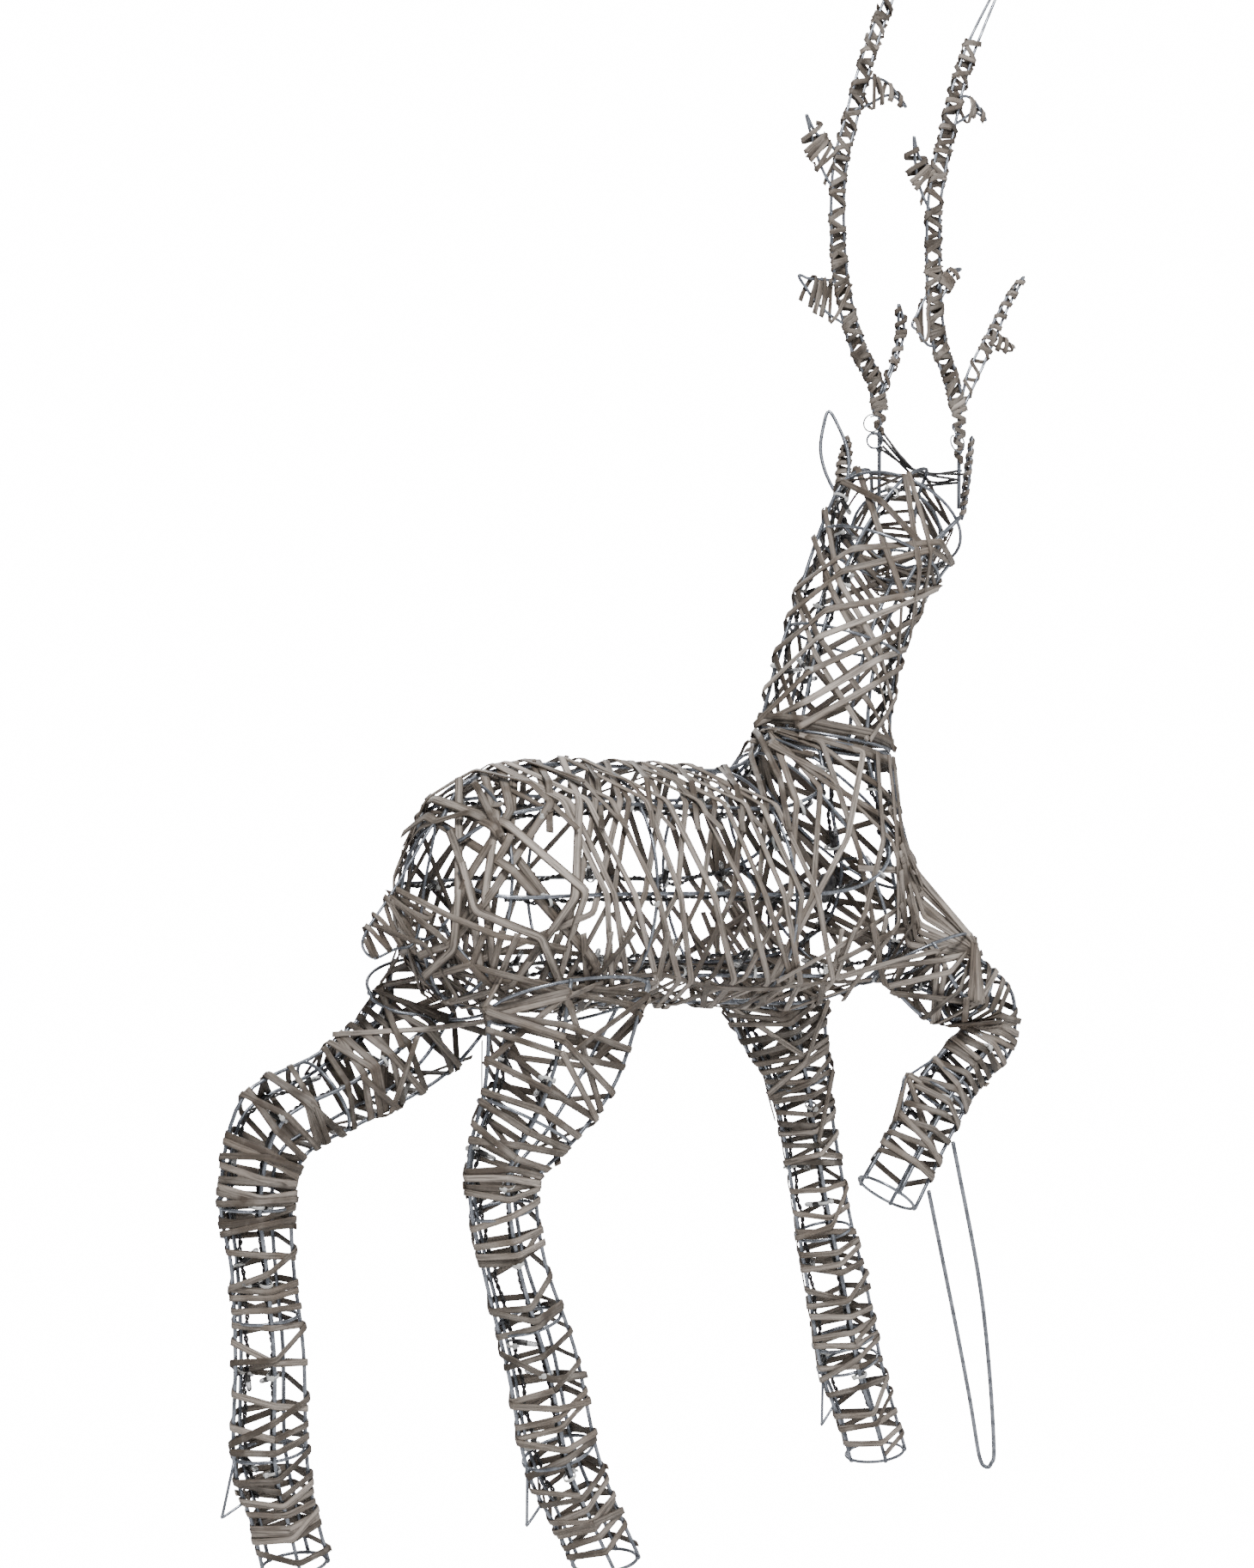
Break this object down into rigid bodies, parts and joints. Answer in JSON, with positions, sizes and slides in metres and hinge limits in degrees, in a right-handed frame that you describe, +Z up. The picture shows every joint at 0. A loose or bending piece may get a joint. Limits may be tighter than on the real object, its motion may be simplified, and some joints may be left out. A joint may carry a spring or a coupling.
{
  "type": "light-up reindeer figure",
  "caption": "Standing garden reindeer: a welded wire skeleton wound with flat rattan strip and lit by small clear lamps, head turned to its left, one fore leg raised.",
  "frame": {"origin": "on the ground, under the middle of the bounding box", "axes": "+Z up, +X the way the body faces, +Y the animal's left"},
  "size_m": [0.7943, 0.2544, 1.3917],
  "materials": {
    "galvanised_wire": "galvanised wire, blue-grey, a little shiny",
    "rattan_strip": "flat grey-brown woven strip with fine lengthwise grain, matt",
    "lamp_cable": "thin black twisted cable"
  },
  "bodies": {
    "root": {"body_frame": "galvanised_wire", "body_lamp_cable": "lamp_cable", "body_winding_inner": "rattan_strip", "body_winding_outer": "rattan_strip", "left_antler_frame": "galvanised_wire", "left_antler_winding_1": "rattan_strip", "left_antler_winding_2": "rattan_strip", "left_antler_winding_3": "rattan_strip", "left_antler_winding_4": "rattan_strip", "left_ear_frame": "galvanised_wire", "left_fore_leg_frame": "galvanised_wire", "left_fore_leg_lamp_cable": "lamp_cable", "left_fore_leg_winding": "rattan_strip", "left_hind_leg_frame": "galvanised_wire", "left_hind_leg_lamp_cable": "lamp_cable", "left_hind_leg_winding": "rattan_strip", "muzzle_winding": "rattan_strip", "neck_and_head_frame": "galvanised_wire", "neck_lamp_cable": "lamp_cable", "neck_winding_inner": "rattan_strip", "neck_winding_outer": "rattan_strip", "right_antler_frame": "galvanised_wire", "right_antler_winding_1": "rattan_strip", "right_antler_winding_2": "rattan_strip", "right_antler_winding_3": "rattan_strip", "right_antler_winding_4": "rattan_strip", "right_ear_frame": "galvanised_wire", "right_fore_leg_frame": "galvanised_wire", "right_fore_leg_lamp_cable": "lamp_cable", "right_fore_leg_winding": "rattan_strip", "right_hind_leg_frame": "galvanised_wire", "right_hind_leg_lamp_cable": "lamp_cable", "right_hind_leg_winding": "rattan_strip", "standing_prop": "galvanised_wire", "tail_frame": "galvanised_wire"}
  },
  "joints": []
}
